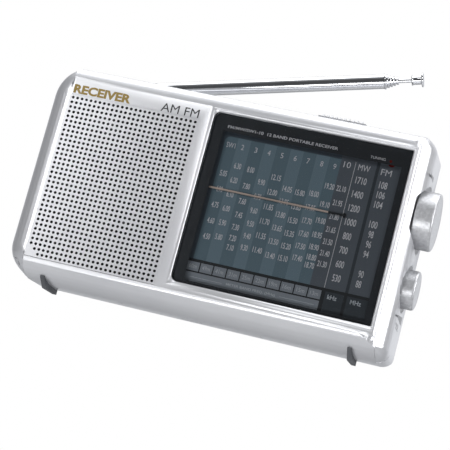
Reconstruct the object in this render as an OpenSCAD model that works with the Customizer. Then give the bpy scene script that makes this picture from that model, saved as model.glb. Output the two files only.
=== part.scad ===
// Portable shortwave receiver with a side tuning knob, a vertically moving dial pointer
// driven by a dial cord, and a telescopic aerial. Millimetres, +Z up, front towards -Y.
// The origin is the bottom centre of the whole object, on the plane it stands on.

/* [Case] */
// Width of the case without the knobs
case_w = 163; // [162:1:166]
// Height of the case without the feet
case_h = 91.3; // [90.5:0.1:92]
// Depth of the case
case_d = 33; // [33:0.5:35]
// Thickness of the case walls
wall = 2; // [1.8:0.1:2.2]
// Height of the rubber feet below the case
foot_h = 2; // [1.5:0.1:3]
// Corner radius of the left end, seen from the front
corner_left = 13; // [11:0.5:14]
// Corner radius of the right end, seen from the front
corner_right = 5.5; // [4:0.5:6]

/* [Grille] */
// Distance between the columns of grille holes
hole_pitch = 2; // [1.9:0.05:2.1]
// Distance between the rows of grille holes
row_pitch = 2.05; // [2:0.05:2.1]
// Diameter of a grille hole
hole_d = 1.2; // [1:0.05:1.3]
// Columns of grille holes
hole_cols = 28; // [20:1:28]
// Rows of grille holes
hole_rows = 34; // [26:1:34]

/* [Dial] */
// Width of the dial window
window_w = 82.9; // [82:0.1:83.4]
// Height of the dial window
window_h = 72; // [70.5:0.1:72.4]
// Thickness of the dial window
window_t = 1.5; // [1.2:0.1:1.6]
// Height of the pointer above the standing plane at rest
pointer_z = 55.7; // [52:0.1:60]
// Length of the pointer bar
pointer_len = 57; // [55:0.1:57.5]

/* [Controls] */
// Diameter of the tuning knob
tuning_d = 23.9; // [23:0.1:25]
// How far the tuning knob stands out of the side
tuning_out = 5.4; // [4:0.1:7]
// Diameter of the volume knob
volume_d = 16; // [15:0.1:16.5]
// How far the volume knob stands out of the side
volume_out = 4.4; // [3:0.1:5.5]
// Length of the band slider's finger piece
slider_l = 20; // [18:0.5:22]

/* [Aerial] */
// Angle of the aerial above the top of the case at rest
aerial_angle = 13.6; // [12:0.1:15]
// Outer diameter of the thickest tube
aerial_d = 6.2; // [6:0.05:6.4]
// Distance from the aerial's pivot to the end of its thickest tube
aerial_tube_l = 125; // [120:0.5:126]

/* [Hidden] */
$fn = 48;

// Plane and line positions. x is counted from the left face of the case, y from the middle
// of the case, where the two cabinets meet, and z from a plane case_low under the case.
half_d = case_d / 2;
case_low = 2.8;
case_top = case_low + case_h;
overall_w = case_w + tuning_out;
shift_x = -overall_w / 2;
inner_front = -half_d + wall;
inner_rear = half_d - wall;

// Rounding of the case edges
round_front_left = 10;
round_front_right = 12;
round_front_top = 6;
round_rear = 8;
round_rear_right = 4;
belly_depth = 20;
belly_height = 8;
arc_steps = 8;

// Window and its raised bezel
window_x = 72.2;
window_z = 14.4;
bezel_rise = 0.5;
bezel_side = 1.4;
bezel_low = 2.2;
bezel_slope = 2;
ledge = 3.2;
ledge_low = 1.2;

// Grille panel
grille_x = 11;
grille_top = 80;
grille_low = 11.1;
grille_margin = 1.5;

// Knob axes and recesses
tuning_z = 63;
volume_z = 34.3;
tuning_recess_r = 14;
volume_recess_r = 9.8;
recess_floor = case_w - 3.2;
volume_floor = case_w - 2.4;
cup_wall = 1.4;

// Dial cord drive: the cord's centre line runs round two pulleys and the drum
cord_r = 0.35;
gap = 0.3;
spindle_r = 3;
spindle_path_r = spindle_r + gap + cord_r;
pointer_low = 29.7;
pointer_high = 69.3;
drum_path_r = (pointer_high - pointer_low) / PI;
pulley_path_r = 2.5;
cord_y = -spindle_path_r;
cord_right = 151;
cord_left = cord_right - 2 * drum_path_r;
drum_x = cord_right - drum_path_r;
drum_z = 20;
pulley_z = 77;
pulley_right_x = cord_right - pulley_path_r;
pulley_left_x = cord_left + pulley_path_r;
axle_r = 0.9;
lamp = [147.2, 80.4];

// Dial plate, pointer and guide
scale_y = -12.5;
scale_t = 1;
pointer_x = 77;
pointer_y = -13.4;
guide_x = 133.8;
guide_y = -8;
guide_r = 1;
chassis_y = -1.25;
chassis_t = 1.2;

// Main board
board_y = 6.2;
board_t = 1.6;
ferrite_y = 2.5;
ferrite_z = 78.6;
ferrite_r = 3;

// Battery bay and door
door_x = 49.7;
door_w = 59.9;
door_top = 38;
cell_r = 7.1;
cell_l = 50;
cell_y = 7.2;
cell_z = 12.2;
bay_front = -1.35;

// Speaker
speaker_x = 39.6;
speaker_z = 45.7;
speaker_r = 30.3;

// Band slider
slider_x = 122.3;
slider_y = -4.5;
slider_travel_low = 16.8;
slider_travel_high = 9.6;
slot_w = 3;

// Rubber feet, and the screws that hold the cabinets together
feet_x = [17.5, 148.3];
posts = [[9, 14.4], [9, 78], [156, 83], [155, 12.3]];
post_r = 3;

// Aerial: local x runs along the tube from the pivot
pivot = [11, 11.5, 91.1];
pivot_r = 1.6;
pivot_head_r = 2.2;
elbow_x = 6.5;
tube_start = 10.2;
rebate_y = 7.2;
rebate_z = 87.3;
tube_r = [aerial_d / 2, 2.6, 2.2, 1.8, 1.4, 0.9];
tube_fit = 0.05;
collar_l = 0.8;
collar_step = 1.3;
collar_extra = 0.22;
tip_start = 135.6;
tip_l = 5;

// ---------- helpers ----------

module placed() { translate([shift_x, 0, foot_h - case_low]) children(); }

// Cylinders along Y and X, starting at the given corner point
module y_rod(x, y, z, r, l) { translate([x, y + l, z]) rotate([90, 0, 0]) cylinder(r = r, h = l); }
module x_rod(x, y, z, r, l) { translate([x, y, z]) rotate([0, 90, 0]) cylinder(r = r, h = l); }
module block(low, high) { translate(low) cube(high - low); }

// Points of an elliptical corner from angle a to angle a + 90
function corner(cx, cy, rx, ry, a) =
    [for (k = [0:arc_steps]) [cx + rx * cos(a + 90 * k / arc_steps),
                              cy + ry * sin(a + 90 * k / arc_steps)]];

// Rounded rectangle whose four corners have their own radii [rx, ry]:
// high-high, low-high, low-low, high-low
function outline(x0, x1, y0, y1, r) = concat(
    corner(x1 - r[0][0], y1 - r[0][1], r[0][0], r[0][1], 0),
    corner(x0 + r[1][0], y1 - r[1][1], r[1][0], r[1][1], 90),
    corner(x0 + r[2][0], y0 + r[2][1], r[2][0], r[2][1], 180),
    corner(x1 - r[3][0], y0 + r[3][1], r[3][0], r[3][1], 270));

function shrunk(r, t) = [for (q = r) [max(q[0] - t, 0.8), max(q[1] - t, 0.8)]];

front_radii = [[corner_right, corner_right], [corner_left, corner_left],
               [corner_left, corner_left], [corner_right, corner_right]];
side_radii = [[round_rear, round_rear], [round_front_top, round_front_top],
              [belly_depth, belly_height], [round_rear, round_rear]];
plan_radii = [[round_rear_right, round_rear_right], [round_rear, round_rear],
              [round_front_left, round_front_left], [round_front_right, round_front_right]];

// The rounded body of the case, shrunk by t on every side
module case_solid(t) {
    intersection() {
        translate([0, half_d, 0]) rotate([90, 0, 0]) linear_extrude(case_d)
            polygon(outline(t, case_w - t, case_low + t, case_top - t, shrunk(front_radii, t)));
        rotate([90, 0, 90]) linear_extrude(case_w)
            polygon(outline(t - half_d, half_d - t, case_low + t, case_top - t,
                            shrunk(side_radii, t)));
        linear_extrude(case_top)
            polygon(outline(t, case_w - t, t - half_d, half_d - t, shrunk(plan_radii, t)));
    }
}

module half_space(front) {
    translate([-5, front ? -half_d - 5 : 0, -5]) cube([case_w + 10, half_d + 5, case_top + 10]);
}

// Raised bezel round the window, seen from above and from the side
module bezel() {
    low_x = window_x - bezel_side;
    high_x = window_x + window_w + 1.3;
    top = window_z + window_h + 1.5;
    low_z = window_z - bezel_low;
    back = inner_front + 0.5;
    intersection() {
        linear_extrude(case_top)
            polygon([[low_x, -half_d - bezel_rise], [high_x, -half_d - bezel_rise],
                     [high_x + bezel_slope, -half_d + 4], [high_x + bezel_slope, back + 3],
                     [low_x - 0.5, back + 3], [low_x - 0.5, -half_d]]);
        rotate([90, 0, 90]) linear_extrude(case_w)
            polygon([[-half_d - bezel_rise, low_z], [-half_d - bezel_rise, top],
                     [-half_d + 1, top + 1], [back, top + 1],
                     [back, low_z - 1.4], [-half_d + 0.7, low_z - 1.4]]);
    }
}

// Outline of the window, grown by t
module window_shape(t) {
    polygon(outline(window_x - t, window_x + window_w + t, window_z - t, window_z + window_h + t,
                    [[0.5, 0.5], [3, 3], [3, 3], [0.5, 0.5]]));
}

module window_cut() {
    translate([0, -half_d - bezel_rise + window_t + 0.1, 0]) rotate([90, 0, 0])
        linear_extrude(window_t + 2) window_shape(0.1);
    block([window_x + ledge, -half_d - 2, window_z + ledge_low],
          [window_x + window_w - ledge, inner_front + 6, window_z + window_h - ledge]);
}

module grille_cut(t) {
    block([grille_x - grille_margin - t, -half_d - 1, grille_low - t],
          [grille_x + (hole_cols - 1) * hole_pitch + grille_margin + t, inner_front + t,
           grille_top + grille_margin + t]);
}

module recesses() {
    x_rod(recess_floor, 0, tuning_z, tuning_recess_r, 10);
    x_rod(volume_floor, 0, volume_z, volume_recess_r, 10);
    x_rod(recess_floor - 8, 0, tuning_z, spindle_r + gap, 12);
    x_rod(volume_floor - 8, 0, volume_z, 3 + gap, 12);
}

module cups() {
    x_rod(recess_floor - cup_wall, 0, tuning_z, tuning_recess_r + cup_wall, 6);
    x_rod(volume_floor - cup_wall, 0, volume_z, volume_recess_r + cup_wall, 6);
}

module shell_half(front) {
    intersection() {
        difference() {
            case_solid(0);
            case_solid(wall);
        }
        half_space(front);
    }
    intersection() {
        cups();
        case_solid(0.6);
        half_space(front);
    }
}

module slider_slot() {
    block([slider_x - slider_travel_low - 3.3, slider_y - slot_w / 2, case_top - wall - 1],
          [slider_x + slider_travel_high + 3.3, slider_y + slot_w / 2, case_top + 1]);
    block([slider_x - slider_travel_low - slider_l / 2 - 0.5, slider_y - 4, case_top - 0.8],
          [slider_x + slider_travel_high + slider_l / 2 + 0.5, slider_y + 4, case_top + 1]);
}

// ---------- case ----------

module front_cabinet() {
    color("silver") placed() difference() {
        union() {
            shell_half(true);
            bezel();
            intersection() {
                union() for (p = posts) y_rod(p[0], -half_d, p[1], post_r, half_d - 0.2);
                case_solid(0.6);
            }
        }
        window_cut();
        grille_cut(0.1);
        recesses();
        slider_slot();
        for (p = posts) y_rod(p[0], -9, p[1], 1.2, 10);
    }
}

// The solid that the battery door is cut from, with clearance t all round
module door_zone(t) {
    block([door_x - t, -0.01, -1], [door_x + door_w + t, half_d + 1, door_top + t]);
}

module rear_cabinet() {
    bay_low = door_x - 1;
    bay_high = door_x + door_w + 1;
    bay_top = door_top + gap + 1.5;
    color("silver") placed() difference() {
        union() {
            difference() {
                shell_half(false);
                door_zone(gap);
            }
            // Walls of the battery bay: two ends, the front and the roof
            intersection() {
                union() {
                    block([bay_low - 1.5, 0.05, 0], [bay_low, half_d, bay_top]);
                    block([bay_high, 0.05, 0], [bay_high + 1.5, half_d, bay_top]);
                    block([bay_low - 1.5, bay_front, 5.3], [bay_high + 1.5, 0.2, bay_top]);
                    block([bay_low - 1.5, bay_front, bay_top - 1.5],
                          [bay_high + 1.5, half_d, bay_top]);
                }
                case_solid(wall - 0.4);
            }
            intersection() {
                union() {
                    for (p = posts) y_rod(p[0], 0, p[1], post_r + 0.6, half_d);
                    block([4, rebate_y - wall, rebate_z - wall],
                          [case_w - 4, half_d, case_top]);
                    x_rod(1, 5, 44, 4, 3);
                    x_rod(1, 5, 58, 4.6, 3);
                }
                case_solid(0.6);
                half_space(false);
            }
        }
        // Inside of the battery bay
        block([bay_low, bay_front + 1.2, 5.3], [bay_high, inner_rear, door_top + gap]);
        // Rebate that the folded aerial lies in, open to the top and the rear
        block([3.6, rebate_y, rebate_z], [case_w - 8, half_d + 1, case_top + 1]);
        y_rod(pivot[0], rebate_y - 8, pivot[2], pivot_r + tube_fit, 12);
        y_rod(pivot[0], rebate_y - wall - 6, pivot[2], pivot_head_r + gap, 6);
        recesses();
        for (p = posts) {
            y_rod(p[0], -1, p[1], 1.5, half_d + 2);
            y_rod(p[0], 6, p[1], 2.6, half_d);
        }
        x_rod(-1, 5, 44, 3.1, 6);
        x_rod(-1, 5, 58, 3.6, 6);
    }
}

module speaker_grille() {
    w = (hole_cols - 1) * hole_pitch;
    color("gainsboro") placed()
        translate([0, inner_front, 0]) rotate([90, 0, 0]) linear_extrude(wall) difference() {
            translate([grille_x - grille_margin, grille_low])
                square([w + 2 * grille_margin, grille_top + grille_margin - grille_low]);
            // The rounded lower left corner leaves out three holes
            for (c = [0:hole_cols - 1], r = [0:hole_rows - 1])
                if (c > r - hole_rows + 2)
                    translate([grille_x + c * hole_pitch, grille_top - r * row_pitch])
                        circle(d = hole_d, $fn = 16);
        }
}

module dial_window() {
    y1 = -half_d - bezel_rise + window_t;
    color([0.75, 0.8, 0.85, 0.4]) placed()
        translate([0, y1, 0]) rotate([90, 0, 0]) linear_extrude(window_t) window_shape(0);
}

module battery_door() {
    color("silver") placed() {
        intersection() {
            difference() {
                case_solid(0);
                case_solid(wall);
            }
            block([door_x, gap, -1], [door_x + door_w, half_d + 1, door_top]);
        }
        // Rows of finger ribs under the front edge
        for (k = [0:4])
            translate([door_x + door_w / 2 - 4 + 2 * k, 5, case_low - 0.3])
                cylinder(r = 0.6, h = 1);
    }
}

module feet() {
    color("dimgray") placed() difference() {
        for (x = feet_x) translate([x - 0.9, 0, 0]) rotate([90, 0, 90]) linear_extrude(1.8)
            polygon([[-11, case_low + 1.7], [-5, case_low - foot_h], [9, case_low - foot_h],
                     [9, case_low + 1], [-11, case_low + 5]]);
        case_solid(0);
    }
}

module case_screws() {
    color("gray") placed() for (p = posts) {
        y_rod(p[0], -6, p[1], 1.2, 12.2);
        difference() {
            y_rod(p[0], 6, p[1], 2.5, 1.8);
            block([p[0] - 2, 7, p[1] - 0.3], [p[0] + 2, 8, p[1] + 0.3]);
            block([p[0] - 0.3, 7, p[1] - 2], [p[0] + 0.3, 8, p[1] + 2]);
        }
    }
}

// ---------- dial ----------

module dial_scale() {
    color("slategray") placed() difference() {
        block([73, scale_y, window_z + 0.6], [151.5, scale_y + scale_t, window_z + window_h - 0.2]);
        block([guide_x - 0.9, scale_y - 1, pointer_low - 2.4],
              [guide_x + 0.9, scale_y + 2, pointer_high + 2.4]);
        y_rod(lamp[0], scale_y - 1, lamp[1], 1.7, 3);
    }
}

module tuning_lamp() {
    color("firebrick") placed() {
        y_rod(lamp[0], scale_y - 0.2, lamp[1], 1.4, 5);
        y_rod(lamp[0], scale_y + scale_t + 0.2, lamp[1], 1.8, 1);
    }
}

module dial_chassis() {
    color("darkslategray") placed() difference() {
        union() {
            block([73, chassis_y - chassis_t, 40], [146, chassis_y, 82]);
            block([112, chassis_y - chassis_t, 36.5], [146, chassis_y, 41]);
            block([145, chassis_y - chassis_t, 72], [152, chassis_y, 81]);
            // Bearing tab of the tuning shaft
            block([144.5, chassis_y - chassis_t - 3, tuning_z - 5],
                  [146.5, chassis_y + 5.4, tuning_z + 5]);
            // Upper and lower bridges of the guide rod
            block([guide_x - 2, scale_y + scale_t, 75.4], [guide_x + 6, chassis_y - 0.2, 78.4]);
            block([guide_x - 2, scale_y + scale_t, 18], [guide_x + 6, -6.8, 21]);
            block([guide_x + 3.6, scale_y + scale_t, 18], [guide_x + 6, -9.6, 78.4]);
            // Side rails to the dial plate
            block([73, scale_y + scale_t, 78], [77, chassis_y - 0.2, 82]);
            block([73, scale_y + scale_t, 40], [77, chassis_y - 0.2, 44]);
        }
        translate([guide_x, guide_y, 10]) cylinder(r = guide_r + 0.02, h = 75);
        x_rod(140, 0, tuning_z, 2 + 0.05, 10);
        for (x = [pulley_left_x, pulley_right_x]) y_rod(x, -5, pulley_z, axle_r + 0.01, 6);
        block([82, -5, 48], [118, 5, 72]);
    }
}

module dial_pointer() {
    color("navajowhite") placed() {
        block([pointer_x, pointer_y - 0.4, pointer_z - 0.35],
              [pointer_x + pointer_len, pointer_y + 0.4, pointer_z + 0.35]);
        block([guide_x - 0.5, pointer_y, pointer_z - 0.9], [guide_x + 0.5, -10.8, pointer_z + 0.9]);
    }
}

module pointer_carriage() {
    clamp_y = cord_y - cord_r - gap;
    color("white") placed() difference() {
        union() {
            block([guide_x - 3, -10.8, pointer_z - 3.5], [guide_x + 3, -6, pointer_z + 3.5]);
            block([cord_left - 1.2, -7.4, pointer_z - 1], [guide_x, -6, pointer_z + 1]);
            block([cord_left - 1.2, -6.2, pointer_z - 1],
                  [cord_left + 1.2, cord_y + 0.5, pointer_z + 1]);
        }
        translate([guide_x, guide_y, pointer_z - 5]) cylinder(r = guide_r + 0.05, h = 10);
        block([cord_left - 0.65, clamp_y, pointer_z - 3], [cord_left + 0.65, 0, pointer_z + 3]);
    }
}

module guide_rod() {
    color("lightsteelblue") placed()
        translate([guide_x, guide_y, 18]) cylinder(r = guide_r, h = 61);
}

module pulley(x) {
    groove = pulley_path_r - cord_r - gap;
    color("ivory") placed() difference() {
        union() {
            y_rod(x, cord_y - 0.8, pulley_z, groove, 1.5);
            y_rod(x, cord_y - 0.9, pulley_z, groove + 1.1, 0.3);
            y_rod(x, cord_y + 0.6, pulley_z, groove + 1.1, 0.3);
        }
        y_rod(x, cord_y - 3, pulley_z, axle_r + 0.05, 6);
    }
}
module pulley_right() { pulley(pulley_right_x); }
module pulley_left() { pulley(pulley_left_x); }

module pulley_axles() {
    color("lightsteelblue") placed() for (x = [pulley_left_x, pulley_right_x]) {
        y_rod(x, cord_y - 1.3, pulley_z, axle_r, 3.7);
        y_rod(x, cord_y - 2, pulley_z, axle_r + 0.7, 0.7);
    }
}

module dial_drum() {
    groove = drum_path_r - cord_r - gap;
    color("ivory") placed() difference() {
        union() {
            y_rod(drum_x, cord_y - 0.8, drum_z, groove, 1.6);
            y_rod(drum_x, cord_y - 1.1, drum_z, groove + 1.1, 0.3);
            y_rod(drum_x, cord_y + 0.8, drum_z, groove + 1.1, 0.3);
            y_rod(drum_x, cord_y - 1.8, drum_z, 4, 3);
        }
        y_rod(drum_x, cord_y - 3, drum_z, 2, 8);
        for (a = [0:60:300])
            y_rod(drum_x + 7.6 * cos(a), cord_y - 3, drum_z + 7.6 * sin(a), 2.4, 8);
    }
}

module capacitor_shaft() {
    color("gold") placed() {
        y_rod(drum_x, cord_y - 1.8, drum_z, 2, 5.4);
        y_rod(drum_x, cord_y - 2.6, drum_z, 2.8, 0.8);
    }
}

module tuning_capacitor() {
    color("gainsboro") placed() difference() {
        block([drum_x - 10, -1.2, drum_z - 10], [drum_x + 10, board_y, drum_z + 10]);
        y_rod(drum_x, -2, drum_z, 2.3, 3);
    }
}

// Centre line of the dial cord: over both pulleys and round the drum
function cord_arc(cx, cz, r, a0, a1, n) =
    [for (k = [0:n]) let (a = a0 + (a1 - a0) * k / n) [cx + r * cos(a), cord_y, cz + r * sin(a)]];
cord_loop = concat(
    cord_arc(pulley_left_x, pulley_z, pulley_path_r, 180, 90, 6),
    cord_arc(pulley_right_x, pulley_z, pulley_path_r, 90, 0, 6),
    cord_arc(drum_x, drum_z, drum_path_r, 0, -180, 20));

function unit(v) = v / norm(v);
function ring_at(p, q, s, r, sides) =
    let (t = unit(q - p), u = unit(cross(t, abs(t[1]) < 0.9 ? [0, 1, 0] : [1, 0, 0])), w = cross(t, u))
    [for (k = [0:sides - 1]) s + r * cos(360 * k / sides) * u + r * sin(360 * k / sides) * w];

// Tube round a list of points, closed on itself or capped at both ends
module swept_tube(path, r, sides, closed) {
    n = len(path);
    rings = [for (i = [0:n - 1])
        each ring_at(path[closed ? (i + n - 1) % n : max(i - 1, 0)],
                     path[closed ? (i + 1) % n : min(i + 1, n - 1)], path[i], r, sides)];
    walls = [for (i = [0:closed ? n - 1 : n - 2], k = [0:sides - 1])
        let (a = i * sides, b = ((i + 1) % n) * sides, m = (k + 1) % sides)
        [a + k, a + m, b + m, b + k]];
    caps = closed ? [] : [[for (k = [sides - 1:-1:0]) k],
                          [for (k = [0:sides - 1]) (n - 1) * sides + k]];
    polyhedron(rings, concat(walls, caps));
}

module dial_cord() {
    color("khaki") placed() swept_tube(cord_loop, cord_r, 8, true);
}

// ---------- controls ----------

module tuning_knob() {
    r = tuning_d / 2;
    back = recess_floor + 0.5;
    front = case_w + tuning_out;
    color("silver") placed() difference() {
        translate([back, 0, tuning_z]) rotate([0, 90, 0]) rotate_extrude($fn = 96)
            polygon([[0, 0], [r, 0], [r, front - back - 0.8], [r - 0.8, front - back],
                     [0, front - back]]);
        x_rod(back - 1, 0, tuning_z, 2, 6);
    }
}

module tuning_shaft() {
    color("lightsteelblue") placed() {
        x_rod(144, 0, tuning_z, 2, 16);
        x_rod(147, 0, tuning_z, 4.2, 0.8);
        x_rod(147.5, 0, tuning_z, spindle_r, 7);
        x_rod(154.2, 0, tuning_z, 4.2, 0.8);
        x_rod(159, 0, tuning_z, 2, 5.2);
    }
}

module volume_knob() {
    r = volume_d / 2;
    back = volume_floor + 0.5;
    front = case_w + volume_out;
    color("silver") placed() difference() {
        translate([back, 0, volume_z]) rotate([0, 90, 0]) rotate_extrude($fn = 96)
            polygon([[0, 0], [r, 0], [r, front - back - 0.7], [r - 0.7, front - back],
                     [0, front - back]]);
        x_rod(back - 1, 0, volume_z, 2, 5);
    }
}

module volume_shaft() {
    color("lightsteelblue") placed() {
        x_rod(157, 0, volume_z, 2, 7);
        x_rod(156.6, 0, volume_z, 2.8, 0.8);
    }
}

module volume_pot() {
    color("dimgray") placed() difference() {
        union() {
            x_rod(152.2, 0, volume_z, 6, 3.2);
            x_rod(155.4, 0, volume_z, 4.5, 0.9);
            block([152.2, 3, volume_z - 5], [155, board_y, volume_z + 5]);
        }
    }
}

module band_slider() {
    low = slider_x - slider_l / 2;
    color("silver") placed() {
        block([low, slider_y - 3.6, case_top - 0.5], [low + slider_l, slider_y + 3.6, case_top + 1.4]);
        for (k = [0:9])
            block([low + 1.5 + 1.8 * k, slider_y - 3.2, case_top + 1.3],
                  [low + 2.3 + 1.8 * k, slider_y + 3.2, case_top + 2.2]);
        block([slider_x - 3, slider_y - 1.2, case_top - 6.3], [slider_x + 3, slider_y + 1.2, case_top - 0.4]);
    }
}

module band_switch() {
    top = case_top - 4.4;
    color("dimgray") placed() {
        difference() {
            block([slider_x - 25, slider_y - 3.5, 83.9], [slider_x + 18, slider_y + 3.5, top]);
            block([slider_x - slider_travel_low - 3.4, slider_y - 1.5, case_top - 7],
                  [slider_x + slider_travel_high + 3.4, slider_y + 1.5, top + 1]);
        }
        for (x = [slider_x - 24, slider_x + 15])
            block([x, slider_y + 3, 82.6], [x + 2, board_y, 84.9]);
    }
}

// ---------- aerial ----------

module aerial_frame() {
    placed() translate(pivot) rotate([0, -aerial_angle, 0]) children();
}

// Boss on the pivot with two ears that hold the tang of the first tube
module aerial_swivel() {
    color("silver") {
        placed() y_rod(pivot[0], rebate_y - 4.5, pivot[2], pivot_r, 5);
        aerial_frame() difference() {
            union() {
                translate([0, 3.6, 0]) rotate([90, 0, 0]) cylinder(r = 3.3, h = 7.5);
                translate([0, -2.6, -2.7]) cube([elbow_x, 5.2, 5.4]);
                translate([elbow_x, 0, -2.7]) cylinder(r = 2.6, h = 5.4);
            }
            translate([3.2, -5, -1.2]) cube([10, 10, 2.4]);
            translate([elbow_x, 0, -4]) cylinder(r = 0.9, h = 8);
        }
    }
}

module aerial_hinge_pin() {
    color("gray") aerial_frame() translate([elbow_x, 0, -2.9]) cylinder(r = 0.9, h = 5.8);
}

// First tube with its tang: radius at the foot, wall, bore and end collar
module aerial_tube_1() {
    r = tube_r[0];
    color("silver") aerial_frame() difference() {
        union() {
            translate([elbow_x, 0, -0.9]) cylinder(r = 2.4, h = 1.8);
            translate([elbow_x, -2, -0.9]) cube([4.5, 4, 1.8]);
            x_rod(tube_start, 0, 0, r, aerial_tube_l - tube_start);
            x_rod(aerial_tube_l - collar_l, 0, 0, r + collar_extra, collar_l);
        }
        x_rod(tube_start + 3, 0, 0, tube_r[1] + tube_fit, aerial_tube_l);
        translate([elbow_x, 0, -4]) cylinder(r = 0.9 + 0.05, h = 8);
    }
}

// Section n starts inside the one before it and ends one collar step further out
module aerial_section(n) {
    r = tube_r[n];
    start = tube_start + 3 + n * 0.8;
    end = aerial_tube_l + n * collar_step;
    color("silver") aerial_frame() difference() {
        union() {
            x_rod(start, 0, 0, r, end - start);
            x_rod(end - collar_l, 0, 0, r + collar_extra, collar_l);
        }
        x_rod(start - 1, 0, 0, tube_r[n + 1] + tube_fit, end - start + 2);
    }
}
module aerial_tube_2() { aerial_section(1); }
module aerial_tube_3() { aerial_section(2); }
module aerial_tube_4() { aerial_section(3); }
module aerial_tube_5() { aerial_section(4); }

module aerial_rod() {
    start = tube_start + 8;
    color("silver") aerial_frame() x_rod(start, 0, 0, tube_r[5], tip_start - start + 0.6);
}

module aerial_tip() {
    color("silver") aerial_frame() translate([tip_start, 0, 0]) rotate([0, 90, 0])
        difference() {
            rotate_extrude()
                polygon([[0, 0], [2.1, 0], [2.3, 0.3], [1.9, 0.7], [1.9, tip_l - 1.1],
                         [3, tip_l - 0.7], [3, tip_l - 0.2], [2.7, tip_l], [0, tip_l]]);
            translate([0, 0, -1]) cylinder(r = tube_r[5], h = 1.6);
        }
}

module aerial_screw() {
    color("gray") placed() y_rod(pivot[0], rebate_y - 5.3, pivot[2], pivot_head_r, 0.8);
}

module aerial_lug() {
    color("gold") placed() difference() {
        block([pivot[0] - 2.1, rebate_y - wall - 0.6, pivot[2] - 7],
              [pivot[0] + 3, rebate_y - wall, pivot[2] - 0.2]);
        y_rod(pivot[0], rebate_y - 7, pivot[2], pivot_r + gap, 8);
    }
}

// ---------- speaker ----------

module speaker_frame() {
    color("gray") placed() translate([speaker_x, inner_front + 0.2, speaker_z]) rotate([-90, 0, 0])
        difference() {
            rotate_extrude($fn = 72)
                polygon([[speaker_r - 3.4, 0], [speaker_r, 0], [speaker_r, 1.4], [speaker_r - 3, 1.4],
                         [15, 7.6], [6, 7.6], [6, 6.6], [14.6, 6.6], [speaker_r - 3.8, 0.8]]);
            for (a = [30:60:330]) rotate([0, 0, a]) translate([20, -3.5, 2]) cube([6, 7, 6]);
        }
}

module speaker_magnet() {
    color("dimgray") placed() {
        y_rod(speaker_x, inner_front + 7.8, speaker_z, 15, 4);
        y_rod(speaker_x, inner_front + 11.8, speaker_z, 13, 1.1);
        y_rod(speaker_x, inner_front + 5.4, speaker_z, 5, 2.4);
    }
}

module speaker_cone() {
    color("darkslategray") placed() translate([speaker_x, inner_front + 0.3, speaker_z])
        rotate([-90, 0, 0]) rotate_extrude($fn = 72)
            polygon([[0, 2.6], [5.4, 4.4], [8, 4], [speaker_r - 4.4, 0.5], [speaker_r - 4.4, 0.1],
                     [7.6, 3.3], [5.4, 3.8], [0, 1.8]]);
}

module speaker_clamps() {
    color("gray") placed() for (a = [55, 125, 235, 305])
        translate([speaker_x, 0, speaker_z]) rotate([0, -a, 0]) {
            translate([speaker_r - 1.5, inner_front + 1.7, -2]) cube([4.5, 0.8, 4]);
            translate([speaker_r + 1.6, inner_front + 0.1, 0]) rotate([-90, 0, 0]) cylinder(r = 1, h = 3.4);
        }
}

// ---------- electronics ----------

module main_board() {
    color("darkgreen") placed() difference() {
        translate([0, board_y + board_t, 0]) rotate([90, 0, 0]) linear_extrude(board_t)
            polygon([[72, 84.5], [72, 41], [113.5, 41], [113.5, 8], [148.5, 8], [148.5, 17],
                     [157, 17], [157, 46.5], [154, 46.5], [154, 77.5], [150, 77.5], [150, 84.5]]);
        for (p = [[76, 46], [116, 80], [118, 12]]) y_rod(p[0], 0, p[1], 1.3, 12);
    }
}

module ferrite_rod() {
    color("dimgray") placed() x_rod(80, ferrite_y, ferrite_z, ferrite_r, 52);
}

module ferrite_coil() {
    color("peru") placed() difference() {
        union() {
            x_rod(84, ferrite_y, ferrite_z, ferrite_r + 0.4, 13);
            x_rod(106, ferrite_y, ferrite_z, ferrite_r + 0.4, 15);
        }
        x_rod(80, ferrite_y, ferrite_z, ferrite_r, 52);
    }
}

module ferrite_holders() {
    color("ivory") placed() for (x = [81, 125]) difference() {
        block([x, chassis_y + 0.1, ferrite_z - 5], [x + 2.4, board_y, ferrite_z + 3.8]);
        x_rod(x - 1, ferrite_y, ferrite_z, ferrite_r, 5);
    }
}

module if_transformers() {
    color("gainsboro") placed() for (p = [[80, 64], [90, 64], [100, 64], [110, 64], [128, 50]])
        block([p[0], board_y - 6.6, p[1]], [p[0] + 6.4, board_y, p[1] + 6.4]);
}

module radio_chips() {
    color("dimgray") placed() {
        block([92, board_y - 3.2, 48], [112, board_y, 55]);
        block([120, board_y - 3.2, 60], [136, board_y, 66.5]);
        block([78, board_y - 3.2, 46], [86, board_y, 52]);
    }
}

module electrolytics() {
    color("steelblue") placed() for (p = [[138, 46, 2.9], [146, 52, 2.4], [139, 69, 2.4], [151.4, 22, 2.4]])
        y_rod(p[0], board_y - 6.4, p[1], p[2], 6.4);
}

module wiring() {
    color("firebrick") placed() {
        for (k = [0, 1])
            swept_tube([[44, -0.9, 48 + 4 * k], [47, 0.6, 48 + 4 * k], [54, 2.4, 48 + 4 * k],
                        [62, 3.6, 50 + 4 * k], [70, 4.4, 53 + 3 * k], [74.5, 5.5, 55 + 3 * k]],
                       0.6, 8, false);
        swept_tube([[13.5, 3.6, 84.7], [18, 2.6, 83.4], [26, 2.6, 82], [40, 3.2, 82], [58, 4, 82],
                    [70, 4.8, 81], [74.5, 5.5, 80]], 0.6, 8, false);
    }
}

// ---------- power and sockets ----------

module batteries() {
    color("goldenrod") placed() for (k = [0, 1]) {
        z = cell_z + k * (2 * cell_r + 0.6);
        x = door_x + 4.5;
        x_rod(x, cell_y, z, cell_r, cell_l - 1.2);
        x_rod(k == 0 ? x + cell_l - 1.3 : x - 1.2, cell_y, z, 2.7, 1.3);
    }
}

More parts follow.
